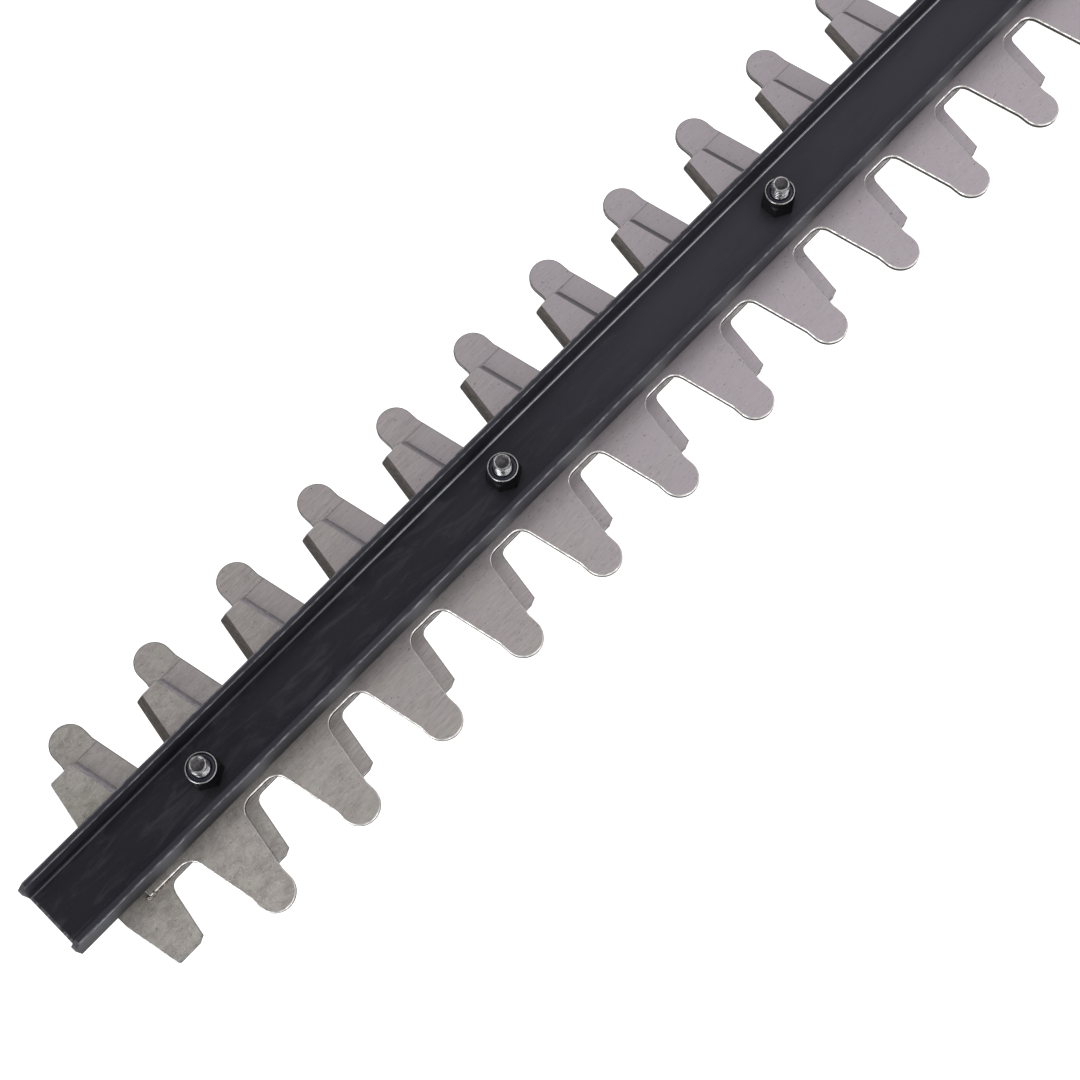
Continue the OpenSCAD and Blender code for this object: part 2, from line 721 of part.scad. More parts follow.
module input_bearing_outers() {
    color(zinc) placed() for (x = in_bearings_x) on_pole(x) {
        ring(in_bearing_w, in_bearing_or - in_race_t, in_bearing_or);
        translate([0, 0, 0.4])
            ring(in_bearing_w - 0.8, pinion_shaft_r + in_race_t + race_gap, in_bearing_or - eps);
    }
}

module input_spacer() {
    color(steel) placed() on_pole(in_bearings_x[0] + in_bearing_w)
        ring(in_bearings_x[1] - in_bearings_x[0] - in_bearing_w, pinion_shaft_r,
             pinion_shaft_r + in_race_t - 0.2);
}

module input_circlip() {
    color(oxide) placed() on_pole(circlip_x + 0.05) difference() {
        ring(circlip_t - 0.1, in_bearing_or - 2, in_bearing_or + 0.7);
        translate([0, -2, -cut]) cube([20, 4, 2 * cut + circlip_t]);
    }
}

guide_channel();
upper_blade();
lower_blade();
slide_bushes();
channel_spacers();
bolt_washers();
bar_bolts();
head_bolts();
bar_nuts();
nut_inserts();
gear_case();
base_plate();
case_gasket();
case_screws();
blade_wiper();
grease_nipple();
crankshaft();
crank_gear();
crank_key();
crank_bearing_inners();
crank_bearing_outers();
upper_con_rod();
upper_rod_bush();
upper_rod_pin();
lower_con_rod();
lower_rod_bush();
lower_rod_pin();
input_pinion();
input_bearing_inners();
input_bearing_outers();
input_spacer();
input_circlip();
clamp_screws();
tube_lock_screw();
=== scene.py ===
"""Looks of a double-sided hedge trimmer cutter bar and its gear head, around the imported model."""
import math
import random

import bmesh
import bpy
from mathutils import Euler, Matrix, Vector, noise


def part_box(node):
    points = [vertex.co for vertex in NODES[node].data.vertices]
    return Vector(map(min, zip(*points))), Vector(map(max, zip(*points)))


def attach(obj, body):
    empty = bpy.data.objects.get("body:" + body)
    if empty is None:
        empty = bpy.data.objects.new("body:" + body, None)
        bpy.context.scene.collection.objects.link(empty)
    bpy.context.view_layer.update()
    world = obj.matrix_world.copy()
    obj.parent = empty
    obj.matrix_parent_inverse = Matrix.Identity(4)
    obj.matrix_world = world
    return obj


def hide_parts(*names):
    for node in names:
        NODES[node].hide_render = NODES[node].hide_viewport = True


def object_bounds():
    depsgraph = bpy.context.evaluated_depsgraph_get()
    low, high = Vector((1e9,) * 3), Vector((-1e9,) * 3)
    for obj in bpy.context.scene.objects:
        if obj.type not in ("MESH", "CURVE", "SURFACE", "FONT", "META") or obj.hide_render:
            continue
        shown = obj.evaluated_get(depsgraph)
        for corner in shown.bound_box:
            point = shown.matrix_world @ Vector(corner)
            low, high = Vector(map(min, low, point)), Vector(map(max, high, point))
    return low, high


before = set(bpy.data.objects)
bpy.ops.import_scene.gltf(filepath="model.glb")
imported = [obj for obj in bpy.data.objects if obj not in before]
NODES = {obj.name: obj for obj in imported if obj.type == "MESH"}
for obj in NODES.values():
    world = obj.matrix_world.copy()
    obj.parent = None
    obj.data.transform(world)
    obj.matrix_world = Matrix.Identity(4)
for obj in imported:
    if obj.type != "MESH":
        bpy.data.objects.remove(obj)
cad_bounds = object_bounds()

MM = 0.001
rng = random.Random(7)

# ---------------------------------------------------------------- places, from the frame

blade_low, blade_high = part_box("upper_blade")
lower_low, lower_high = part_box("lower_blade")
channel_low, channel_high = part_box("guide_channel")
bolts_low, bolts_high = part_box("bar_bolts")
nuts_low, nuts_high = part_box("bar_nuts")
case_low, case_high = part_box("gear_case")

BLADE_TOP = blade_high.z
HEX_ACROSS = 10 * MM
BOLT_R = 3 * MM
HEAD_H = 4 * MM
NUT_HEX_H = 4.8 * MM
COLLAR_R = 4.9 * MM
FIRST_BOLT_X = bolts_low.x + HEX_ACROSS / 2
BOLT_PITCH = 127 * MM
BAR_BOLTS = 4
HEAD_BOLTS = (FIRST_BOLT_X + 427 * MM, FIRST_BOLT_X + 451 * MM)
CHANNEL_HALF = 12.5                     # mm, like every place used in a material
FLOOR_TOP = channel_low.z / MM + 2
SWEPT_Y = 33.1                          # reach of the short teeth over the other blade


# ---------------------------------------------------------------- material helpers

def add_node(tree, kind, values=None, **settings):
    """A new shader node; a value that is a socket is linked, any other is set."""
    new = tree.nodes.new(kind)
    for key, value in settings.items():
        setattr(new, key, value)
    for key, value in (values or {}).items():
        if isinstance(value, bpy.types.NodeSocket):
            tree.links.new(value, new.inputs[key])
        else:
            new.inputs[key].default_value = value
    return new


class Paint:
    """A principled material with short calls for the patterns that it is made of."""

    def __init__(self, name):
        self.material = bpy.data.materials.new(name)
        self.material.use_nodes = True
        self.tree = self.material.node_tree
        self.shader = self.tree.nodes["Principled BSDF"]
        coords = add_node(self.tree, "ShaderNodeTexCoord").outputs["Object"]
        self.mm = self.vector("SCALE", coords, scale=1 / MM)
        geometry = add_node(self.tree, "ShaderNodeNewGeometry")
        self.facing = add_node(self.tree, "ShaderNodeSeparateXYZ",
                               {"Vector": geometry.outputs["True Normal"]})
        self.place = add_node(self.tree, "ShaderNodeSeparateXYZ", {"Vector": self.mm})

    def vector(self, operation, a, b=None, scale=None):
        new = add_node(self.tree, "ShaderNodeVectorMath", {0: a}, operation=operation)
        if b is not None:
            if isinstance(b, bpy.types.NodeSocket):
                self.tree.links.new(b, new.inputs[1])
            else:
                new.inputs[1].default_value = b
        if scale is not None:
            new.inputs["Scale"].default_value = scale
        return new.outputs[0]

    def math(self, operation, a, b=0.0, clamp=False):
        return add_node(self.tree, "ShaderNodeMath", {0: a, 1: b}, operation=operation,
                        use_clamp=clamp).outputs[0]

    def noise(self, stretch, detail=3.0, rough=0.55, turn=0.0, shift=0.0, distortion=0.0):
        """Noise whose grain has stretch cells per millimetre along x, y and z."""
        mapping = add_node(self.tree, "ShaderNodeMapping",
                           {"Vector": self.mm, "Rotation": (0, 0, turn),
                            "Location": (shift, shift, shift)})
        scaled = self.vector("MULTIPLY", mapping.outputs[0], stretch)
        return add_node(self.tree, "ShaderNodeTexNoise",
                        {"Vector": scaled, "Scale": 1.0, "Detail": detail, "Roughness": rough,
                         "Distortion": distortion}).outputs["Fac"]

    def range(self, value, low, high, to_low=0.0, to_high=1.0):
        """value from low..high to to_low..to_high, clamped, with soft ends."""
        return add_node(self.tree, "ShaderNodeMapRange",
                        {"Value": value, "From Min": low, "From Max": high,
                         "To Min": to_low, "To Max": to_high},
                        interpolation_type="SMOOTHSTEP").outputs[0]

    def mix(self, factor, a, b):
        new = add_node(self.tree, "ShaderNodeMix", {"Factor": factor}, data_type="RGBA")
        for socket, value in ((new.inputs[6], a), (new.inputs[7], b)):
            if isinstance(value, bpy.types.NodeSocket):
                self.tree.links.new(value, socket)
            else:
                socket.default_value = (*value, 1.0)
        return new.outputs[2]

    def blend_value(self, factor, a, b):
        return add_node(self.tree, "ShaderNodeMix", {0: factor, 2: a, 3: b},
                        data_type="FLOAT").outputs[0]

    def bump(self, height, distance_mm, strength=1.0, normal=None):
        values = {"Height": height, "Distance": distance_mm * MM, "Strength": strength}
        if normal is not None:
            values["Normal"] = normal
        return add_node(self.tree, "ShaderNodeBump", values).outputs[0]

    def finish(self, color, roughness, normal=None, metallic=1.0, **constants):
        for key, value in (("Base Color", color), ("Roughness", roughness),
                           ("Metallic", metallic)):
            if isinstance(value, bpy.types.NodeSocket):
                self.tree.links.new(value, self.shader.inputs[key])
            elif key == "Base Color":
                self.shader.inputs[key].default_value = (*value, 1.0)
            else:
                self.shader.inputs[key].default_value = value
        if normal is not None:
            self.tree.links.new(normal, self.shader.inputs["Normal"])
        for key, value in constants.items():
            self.shader.inputs[key.replace("_", " ")].default_value = value
        return self.material


# ---------------------------------------------------------------- materials

def blade_steel(name="blade_steel", swept=False):
    """Ground steel with its grain along the bar. The sheared walls are painted nearly black, which
    is painted shade over their cut finish.
    The ground bevels carry painted light and shade by facing over their own grind lines. swept
    marks"""
    p = Paint(name)
    upright = p.math("ABSOLUTE", p.facing.outputs["Z"])
    flat = p.range(upright, 0.90, 0.97)
    wall = p.range(upright, 0.45, 0.25)
    # mask of faces turned towards the gear head, where the bevels get painted light
    head_facing_lit = p.range(p.facing.outputs["X"], 0.2, 0.4)
    fine = p.noise((0.22, 5.0, 2.0), detail=3, rough=0.7)
    broad = p.noise((0.03, 0.9, 1.0), detail=2, rough=0.5, shift=31)
    cloud = p.noise((0.07, 0.10, 0.1), detail=3, rough=0.6, shift=9)
    tint = p.noise((0.12, 0.17, 0.2), detail=2, rough=0.5, shift=140, distortion=0.5)
    stain = p.noise((0.25, 0.33, 0.3), detail=5, rough=0.7, shift=77, distortion=0.6)
    pits = p.noise((1.3, 1.5, 1.3), detail=2, rough=0.5, shift=230)
    scratch_a = p.range(p.noise((0.08, 3.0, 1), detail=2, turn=0.62, shift=5), 0.67, 0.73)
    scratch_b = p.range(p.noise((0.09, 3.4, 1), detail=2, turn=-1.15, shift=15), 0.68, 0.74)
    scratches = p.math("MAXIMUM", scratch_a, scratch_b)
    free_end = p.range(p.place.outputs["X"], -560, -665)
    grain = p.math("ADD", p.math("MULTIPLY", fine, 0.8), p.math("MULTIPLY", broad, 0.2))
    lavender = p.mix(p.range(grain, 0.34, 0.66), (0.300, 0.268, 0.262), (0.540, 0.494, 0.485))
    color = p.mix(p.range(cloud, 0.35, 0.7, 0.0, 0.5), lavender, (0.430, 0.375, 0.395))
    color = p.mix(p.range(tint, 0.50, 0.72, 0.0, 0.5), color, (0.430, 0.425, 0.375))
    color = p.mix(p.range(stain, 0.58, 0.76, 0.0, 0.35), color, (0.22, 0.20, 0.18))
    olive = p.mix(p.range(stain, 0.35, 0.65), (0.62, 0.595, 0.53), (0.33, 0.31, 0.26))
    color = p.mix(p.math("MULTIPLY", free_end, 0.5), color, olive)
    towards_head = p.range(p.place.outputs["X"], -600, -400)
    color = p.mix(p.math("MULTIPLY", towards_head, 0.55), color, (0.530, 0.470, 0.535))
    sparkle = p.range(p.noise((2.4, 3.0, 2.4), detail=2, rough=0.6, shift=310), 0.60, 0.68)
    sparkle = p.math("MULTIPLY", sparkle, p.math("ADD", 0.12, p.math("MULTIPLY", free_end, 0.45)))
    color = p.mix(sparkle, color, (0.85, 0.84, 0.80))
    color = p.mix(p.range(pits, 0.68, 0.72, 0.0, 0.75), color, (0.10, 0.085, 0.075))
    shine = p.math("ADD", 0.35, p.math("MULTIPLY", free_end, 0.35))
    color = p.mix(p.math("MULTIPLY", scratches, shine), color, (0.78, 0.76, 0.74))
    smooth = 0.0
    if swept:
        far = p.place.outputs["Y"]
        smooth = p.math("MULTIPLY", p.range(far, SWEPT_Y, SWEPT_Y - 0.25), p.range(far, 8, 12))
        color = p.mix(p.math("MULTIPLY", smooth, 0.35), color, (0.43, 0.39, 0.415))
        off_line = p.math("ABSOLUTE", p.math("SUBTRACT", far, SWEPT_Y))
        color = p.mix(p.range(off_line, 0.32, 0.12, 0.0, 0.45), color, (0.13, 0.12, 0.13))
    ground_lines = p.noise((4.5, 0.5, 3.0), detail=3, rough=0.7, shift=3)
    # Ground bevels keep their own darker tone and grind lines. On top of that they are painted
    # darker where they turn away from the gear head and lighter where they turn towards it, which
    # is painted shade and painted light. Bevels turned towards the gear head also darken near it.
    lead_bevel_shade = p.mix(p.range(ground_lines, 0.3, 0.7), (0.10, 0.088, 0.080), (0.20, 0.178, 0.166))
    trail_bevel_light = p.mix(p.range(ground_lines, 0.3, 0.7), (0.24, 0.22, 0.24), (0.44, 0.41, 0.44))
    trail_bevel_light = p.mix(p.math("MULTIPLY", towards_head, 0.8), trail_bevel_light, (0.15, 0.14, 0.15))
    bevel = p.mix(head_facing_lit, lead_bevel_shade, trail_bevel_light)
    # Upright sheared walls are painted nearly black. This is painted shade over their rough cut
    # finish.
    cut_lines = p.noise((2.6, 2.6, 0.15), detail=2, shift=44)
    cut_wall_shade = p.mix(p.range(cut_lines, 0.3, 0.7), (0.018, 0.016, 0.015), (0.065, 0.058, 0.054))
    color = p.mix(flat, bevel, color)
    color = p.mix(wall, color, cut_wall_shade)
    roughness = p.range(grain, 0.25, 0.75, 0.28, 0.42)
    roughness = p.math("ADD", roughness, p.range(stain, 0.5, 0.8, 0.0, 0.10))
    roughness = p.blend_value(wall, roughness, 0.7)
    lines = p.blend_value(flat, ground_lines, grain)
    lines = p.math("SUBTRACT", lines, p.math("MULTIPLY", scratches, 0.5))
    if swept:
        lines = p.math("MULTIPLY", lines, p.math("SUBTRACT", 1.0, p.math("MULTIPLY", smooth, 0.8)))
    normal = p.bump(lines, 0.03, strength=0.6)
    return p.finish(color, roughness, normal, metallic=0.48)


def cut_edge(name, bright, dull):
    """The rounded rim that the press and the grinding leave around a blade. It is painted as a
    bright highlight line on edges turned away from the gear head and painted darker on edges turned
    towards it, and a noise makes it patchy."""
    p = Paint(name)
    rim_patches = p.noise((0.5, 0.5, 0.5), detail=3, shift=21)
    # bright rim colour: a painted highlight, made patchy by a noise
    rim_highlight = p.mix(p.range(rim_patches, 0.38, 0.6), (0.62 * bright, 0.60 * bright, 0.58 * bright),
                 (bright, 0.98 * bright, 0.96 * bright))
    # rims facing the gear head get the duller colour, which is painted shade by facing
    color = p.mix(p.range(p.facing.outputs["X"], 0.05, 0.45), rim_highlight,
                  (dull, 0.96 * dull, 0.93 * dull))
    return p.finish(color, p.range(rim_patches, 0.3, 0.7, 0.36, 0.26))


def black_steel(name="black_steel"):
    """Satin black oxide with faint clouds."""
    p = Paint(name)
    cloud = p.noise((0.035, 0.07, 0.07), detail=4, rough=0.6, shift=12)
    drawn = p.noise((0.03, 1.6, 1.6), detail=3, rough=0.6, shift=50)
    speck = p.noise((0.9, 0.9, 0.9), detail=4, rough=0.75, shift=8)
    color = p.mix(p.range(cloud, 0.3, 0.7), (0.006, 0.006, 0.007), (0.014, 0.014, 0.018))
    color = p.mix(p.range(drawn, 0.45, 0.8, 0.0, 0.35), color, (0.025, 0.025, 0.032))
    color = p.mix(p.range(speck, 0.66, 0.8, 0.0, 0.5), color, (0.10, 0.10, 0.11))
    roughness = p.range(cloud, 0.25, 0.75, 0.36, 0.50)
    roughness = p.math("ADD", roughness, p.range(speck, 0.4, 0.8, -0.03, 0.07))
    normal = p.bump(p.math("ADD", speck, p.math("MULTIPLY", drawn, 0.5)), 0.02, strength=0.35)
    return p.finish(color, roughness, normal, metallic=0.0)


def channel_top(rub_color):
    """Blue-black oxide of the channel, rubbed on the flange tops and the free end, and hazy on its
    outer faces.
    It is painted near black along its bottom edge as painted shade, and has a painted highlight
    line along the inner bends."""
    p = Paint("channel_black")
    top_mm = channel_high.z / MM
    end_mm = channel_low.x / MM
    height = p.place.outputs["Z"]
    cloud = p.noise((0.03, 0.08, 0.08), detail=4, rough=0.6, shift=12)
    drawn = p.noise((0.02, 1.3, 1.3), detail=3, rough=0.6, shift=50)
    speck = p.noise((0.8, 0.8, 0.8), detail=4, rough=0.75, shift=8)
    dust = p.noise((2.2, 2.2, 2.2), detail=3, rough=0.6, shift=19)
    smear = p.noise((0.05, 0.22, 0.3), detail=4, rough=0.65, shift=90, distortion=0.8)
    color = p.mix(p.range(cloud, 0.3, 0.7), (0.008, 0.008, 0.012), (0.014, 0.014, 0.021))
    color = p.mix(p.range(drawn, 0.5, 0.85, 0.0, 0.4), color, (0.018, 0.018, 0.026))
    floor = p.math("MULTIPLY", p.range(height, FLOOR_TOP + 0.8, FLOOR_TOP + 0.3),
                   p.range(cloud, 0.3, 0.7, 0.75, 1.0))
    floor_color = p.mix(p.range(p.place.outputs["X"], -560, -380), (0.019, 0.0185, 0.023),
                        (0.050, 0.049, 0.062))
    color = p.mix(floor, color, floor_color)
    color = p.mix(p.range(smear, 0.46, 0.68, 0.0, 0.8), color, (0.046, 0.045, 0.055))
    color = p.mix(p.range(speck, 0.66, 0.8, 0.0, 0.5), color, (0.07, 0.07, 0.08))
    color = p.mix(p.range(dust, 0.66, 0.72, 0.0, 0.5), color, (0.16, 0.15, 0.16))
    across = p.math("ABSOLUTE", p.place.outputs["Y"])
    outer = p.math("MULTIPLY", p.range(across, CHANNEL_HALF - 0.5, CHANNEL_HALF - 0.1),
                   p.range(height, top_mm - 0.1, top_mm - 0.8))
    haze = p.noise((0.12, 0.5, 0.7), detail=5, rough=0.7, shift=163)
    end_fade = p.range(p.place.outputs["X"], -610, -520)
    hazed = p.mix(p.range(haze, 0.35, 0.65), (0.009, 0.009, 0.010), (0.036, 0.034, 0.042))
    hazed = p.mix(p.math("MULTIPLY", end_fade, 0.6), (0.010, 0.010, 0.010), hazed)
    color = p.mix(outer, color, hazed)
    inner_haze = p.math("MULTIPLY", p.range(height, FLOOR_TOP + 2.0, top_mm - 1.0),
                        p.range(across, CHANNEL_HALF - 2.4, CHANNEL_HALF - 1.9))
    color = p.mix(p.math("MULTIPLY", inner_haze, 0.7), color, (0.040, 0.040, 0.050))
    # The bottom bend and underside are painted near black. This is painted shade in the gap over
    # the blade.
    low_mm = channel_low.z / MM
    under_shade = p.math("MULTIPLY", p.range(height, low_mm + 3.0, low_mm + 1.6),
                   p.range(across, CHANNEL_HALF - 1.9, CHANNEL_HALF - 1.5))
    under_shade = p.math("MAXIMUM", under_shade, p.range(height, low_mm + 1.2, low_mm + 0.6))
    color = p.mix(under_shade, color, (0.003, 0.0025, 0.002))
    near_top = p.math("MULTIPLY", p.range(height, top_mm - 0.55, top_mm - 0.25),
                      p.range(across, CHANNEL_HALF - 0.60, CHANNEL_HALF - 0.30))
    near_end = p.range(p.place.outputs["X"], end_mm + 1.1, end_mm + 0.4)
    up = p.range(p.facing.outputs["Z"], 0.5, 0.9)
    patch = p.noise((0.25, 1.6, 1.6), detail=5, rough=0.8, shift=63)
    inner_edge = p.math("MULTIPLY", p.range(height, top_mm - 0.5, top_mm - 0.2),
                        p.range(p.place.outputs["Y"], CHANNEL_HALF - 1.5, CHANNEL_HALF - 1.75))
    inner_edge = p.math("MULTIPLY", inner_edge, p.range(p.place.outputs["Y"], 9, 10))
    near_top = p.math("MAXIMUM", near_top, inner_edge)
    rubbed = p.math("MULTIPLY", p.math("MAXIMUM", near_top, p.math("MULTIPLY", near_end, up)),
                    p.range(patch, 0.42, 0.62, 0.10, 0.8))
    color = p.mix(rubbed, color, rub_color)
    # A bright line along the inner bends is a painted highlight where the bend would reflect the
    # light. It fades towards the free end.
    bend = p.math("MULTIPLY", p.range(across, CHANNEL_HALF - 2.62, CHANNEL_HALF - 2.42),
                  p.range(height, FLOOR_TOP + 0.60, FLOOR_TOP + 0.40))
    inside = p.range(across, CHANNEL_HALF - 1.2, CHANNEL_HALF - 1.6)
    bend_highlight = p.math("MULTIPLY", p.math("MULTIPLY", bend, inside),
                  p.range(patch, 0.25, 0.55, 0.45, 1.0))
    bend_highlight = p.math("MULTIPLY", bend_highlight, p.range(p.place.outputs["X"], -600, -515, 0.15, 0.9))
    color = p.mix(bend_highlight, color, (0.52, 0.52, 0.56))
    roughness = p.range(cloud, 0.25, 0.75, 0.34, 0.46)
    roughness = p.math("ADD", roughness, p.range(speck, 0.4, 0.8, -0.03, 0.07))
    roughness = p.blend_value(outer, roughness, 0.62)
    roughness = p.blend_value(under_shade, roughness, 0.9)
    metallic = p.blend_value(p.math("MAXIMUM", rubbed, bend_highlight), 0.0, 0.6)
    normal = p.bump(p.math("ADD", speck, p.math("MULTIPLY", drawn, 0.6)), 0.03, strength=0.35)
    return p.finish(color, roughness, normal, metallic=metallic,
                    Specular_Tint=(0.85, 0.87, 1.0, 1.0),
                    Specular_IOR_Level=0.30)


def plated_steel():
    p = Paint("plated_steel")
    cloud = p.noise((0.5, 0.5, 0.5), detail=3, shift=4)
    speck = p.noise((4, 4, 4), detail=3, rough=0.7, shift=14)
    color = p.mix(p.range(cloud, 0.3, 0.7), (0.42, 0.415, 0.415), (0.60, 0.595, 0.60))
    color = p.mix(p.range(speck, 0.6, 0.8, 0.0, 0.4), color, (0.33, 0.31, 0.30))
    return p.finish(color, p.range(speck, 0.3, 0.7, 0.22, 0.36), p.bump(speck, 0.006, 0.3))


def bolt_zinc():
    """Dulled zinc of the bolts along the bar."""
    p = Paint("bolt_zinc")
    cloud = p.noise((0.9, 0.9, 0.9), detail=4, rough=0.6, shift=41)
    color = p.mix(p.range(cloud, 0.35, 0.65), (0.22, 0.22, 0.24), (0.55, 0.54, 0.56))
    return p.finish(color, p.range(cloud, 0.3, 0.7, 0.18, 0.32), p.bump(cloud, 0.02, 0.4))


def bolt_end_and_groove_shade():
    """Dark metal for the turned face on a bolt's free end, also painted into the thread grooves as
    painted shade.
    """
    p = Paint("bolt_end_and_groove_shade")
    cloud = p.noise((1.2, 1.2, 1.2), detail=4, rough=0.6, shift=4)
    color = p.mix(p.range(cloud, 0.3, 0.7), (0.055, 0.050, 0.056), (0.13, 0.12, 0.13))
    return p.finish(color, p.range(cloud, 0.3, 0.7, 0.35, 0.5), p.bump(cloud, 0.05, 0.5),
                    metallic=0.6)


def nylon():
    p = Paint("nylon")
    speck = p.noise((3, 3, 3), detail=3, shift=4)
    color = p.mix(speck, (0.012, 0.012, 0.026), (0.030, 0.030, 0.055))
    return p.finish(color, p.range(speck, 0.3, 0.7, 0.3, 0.42), p.bump(speck, 0.02, 0.3),
                    metallic=0.0)


def cast_alloy():
    """Shot-blasted die-cast alloy."""
    p = Paint("cast_alloy")
    skin = p.noise((2.6, 2.6, 2.6), detail=4, rough=0.7, shift=2)
    flow = p.noise((0.05, 0.06, 0.06), detail=4, rough=0.6, shift=33, distortion=1.2)
    dents = p.noise((0.35, 0.35, 0.35), detail=3, rough=0.55, shift=71)
    color = p.mix(p.range(flow, 0.3, 0.7), (0.255, 0.26, 0.27), (0.305, 0.31, 0.32))
    color = p.mix(p.range(skin, 0.52, 0.75, 0.0, 0.5), color, (0.16, 0.16, 0.17))
    normal = p.bump(skin, 0.09, 0.45)
    normal = p.bump(dents, 0.12, 0.25, normal)
    return p.finish(color, p.range(skin, 0.3, 0.7, 0.44, 0.60), normal, metallic=0.6)


def cast_edge():
    p = Paint("cast_edge")
    skin = p.noise((1.6, 1.6, 1.6), detail=4, rough=0.7, shift=2)
    color = p.mix(p.range(skin, 0.35, 0.65), (0.36, 0.365, 0.375), (0.62, 0.62, 0.63))
    return p.finish(color, p.range(skin, 0.3, 0.7, 0.36, 0.5), p.bump(skin, 0.05, 0.4),
                    metallic=0.95)


def machined_steel():
    p = Paint("machined_steel")
    turned = p.noise((0.8, 0.8, 9.0), detail=3, rough=0.6, shift=6)
    oil = p.noise((0.2, 0.2, 0.2), detail=3, shift=61)
    color = p.mix(p.range(turned, 0.3, 0.7), (0.36, 0.355, 0.35), (0.56, 0.55, 0.54))
    color = p.mix(p.range(oil, 0.5, 0.75, 0.0, 0.35), color, (0.30, 0.25, 0.17))
    return p.finish(color, p.range(turned, 0.3, 0.7, 0.2, 0.34), p.bump(turned, 0.02, 0.4))


def bearing_steel():
    p = Paint("bearing_steel")
    swirl = p.noise((1.0, 1.0, 6.0), detail=2, shift=5)
    color = p.mix(swirl, (0.56, 0.56, 0.57), (0.72, 0.72, 0.73))
    return p.finish(color, p.range(swirl, 0.3, 0.7, 0.10, 0.2), p.bump(swirl, 0.01, 0.3))


def bronze():
    p = Paint("bronze")
    turned = p.noise((0.8, 0.8, 8.0), detail=3, shift=9)
    stain = p.noise((0.4, 0.4, 0.4), detail=3, shift=29)
    color = p.mix(p.range(turned, 0.3, 0.7), (0.50, 0.31, 0.13), (0.68, 0.46, 0.22))
    color = p.mix(p.range(stain, 0.5, 0.8, 0.0, 0.5), color, (0.30, 0.18, 0.08))
    return p.finish(color, p.range(turned, 0.3, 0.7, 0.25, 0.4), p.bump(turned, 0.02, 0.4))


def gasket_sheet():
    p = Paint("gasket_sheet")
    fibre = p.noise((1.5, 1.5, 3.0), detail=5, rough=0.8, shift=9)
    color = p.mix(p.range(fibre, 0.3, 0.7), (0.018, 0.018, 0.020), (0.05, 0.05, 0.052))
    return p.finish(color, 0.8, p.bump(fibre, 0.05, 0.6), metallic=0.0)


def felt():
    p = Paint("felt")
    fibre = p.noise((2.2, 0.7, 2.2), detail=6, rough=0.85, shift=9, distortion=1.5)
    color = p.mix(p.range(fibre, 0.3, 0.7), (0.035, 0.033, 0.028), (0.12, 0.11, 0.095))
    return p.finish(color, 0.95, p.bump(fibre, 0.25, 0.8), metallic=0.0, Sheen_Weight=0.4)


def burnt_burr():
    """Torn and heat-stained steel at the cropped end of the upper blade."""
    p = Paint("burnt_burr")
    lump = p.noise((0.9, 0.9, 0.9), detail=5, rough=0.7, shift=3)
    color = p.mix(p.range(lump, 0.35, 0.65), (0.10, 0.075, 0.06), (0.42, 0.38, 0.35))
    return p.finish(color, p.range(lump, 0.3, 0.7, 0.55, 0.3), p.bump(lump, 0.15, 0.7),
                    metallic=0.9)


STEEL = blade_steel()
SWEPT_STEEL = blade_steel("blade_steel_swept", swept=True)
EDGE = cut_edge("cut_edge", 0.97, 0.42)
# the lower blade's rim gets a fainter, darker copy of the painted highlight
DULL_EDGE = cut_edge("dull_edge", 0.34, 0.26)
CHANNEL = channel_top((0.36, 0.355, 0.37))
BLACK = black_steel("nut_black")
PLATED = plated_steel()
BOLT_END_AND_GROOVE_SHADE = bolt_end_and_groove_shade()
BOLT_ZINC = bolt_zinc()
NYLON = nylon()
CAST = cast_alloy()
CAST_EDGE = cast_edge()
MACHINED = machined_steel()
BEARING = bearing_steel()
BRONZE = bronze()
GASKET = gasket_sheet()
FELT = felt()
BURR = burnt_burr()


# ---------------------------------------------------------------- CAD nodes that stay

def dress(name, material, edge_mm, edge_material=None, segments=2, angle=32):
    """Gives a CAD node its material and rounds its sharp edges with modifiers."""
    obj = NODES[name]
    obj.data.materials.clear()
    obj.data.materials.append(material)
    if edge_material:
        obj.data.materials.append(edge_material)
    for face in obj.data.polygons:
        face.material_index = 0
        face.use_smooth = True
    if "custom_normal" in obj.data.attributes:
        obj.data.attributes.remove(obj.data.attributes["custom_normal"])
    weld = obj.modifiers.new("Weld", "WELD")
    weld.merge_threshold = 2e-6
    merge = obj.modifiers.new("Merge flat faces", "DECIMATE")
    merge.decimate_type = "DISSOLVE"
    merge.angle_limit = math.radians(0.5)
    bevel = obj.modifiers.new("Bevel", "BEVEL")
    bevel.width = edge_mm * MM
    bevel.segments = segments
    bevel.limit_method = "ANGLE"
    bevel.angle_limit = math.radians(angle)
    bevel.use_clamp_overlap = True
    bevel.miter_outer = "MITER_ARC"
    if edge_material:
        bevel.material = 1
    flat = obj.modifiers.new("Normals", "WEIGHTED_NORMAL")
    flat.weight = 60
    flat.keep_sharp = False
    return obj


dress("upper_blade", STEEL, 0.60, EDGE, segments=3, angle=72)
dress("lower_blade", SWEPT_STEEL, 0.35, DULL_EDGE, segments=3, angle=72)
dress("guide_channel", CHANNEL, 0.3)
dress("channel_spacers", BLACK, 0.2)
dress("slide_bushes", PLATED, 0.2)
dress("bolt_washers", PLATED, 0.25)
dress("gear_case", CAST, 0.9, CAST_EDGE, segments=3)
dress("base_plate", CAST, 0.7, CAST_EDGE, segments=3)
dress("case_gasket", GASKET, 0.08)
dress("case_screws", PLATED, 0.25)
dress("blade_wiper", FELT, 0.3)
dress("grease_nipple", PLATED, 0.15)
dress("crankshaft", MACHINED, 0.4)
dress("crank_gear", MACHINED, 0.12)
dress("crank_key", MACHINED, 0.15)
dress("crank_bearing_inners", BEARING, 0.25)
dress("crank_bearing_outers", BEARING, 0.25)
dress("upper_con_rod", MACHINED, 0.4)
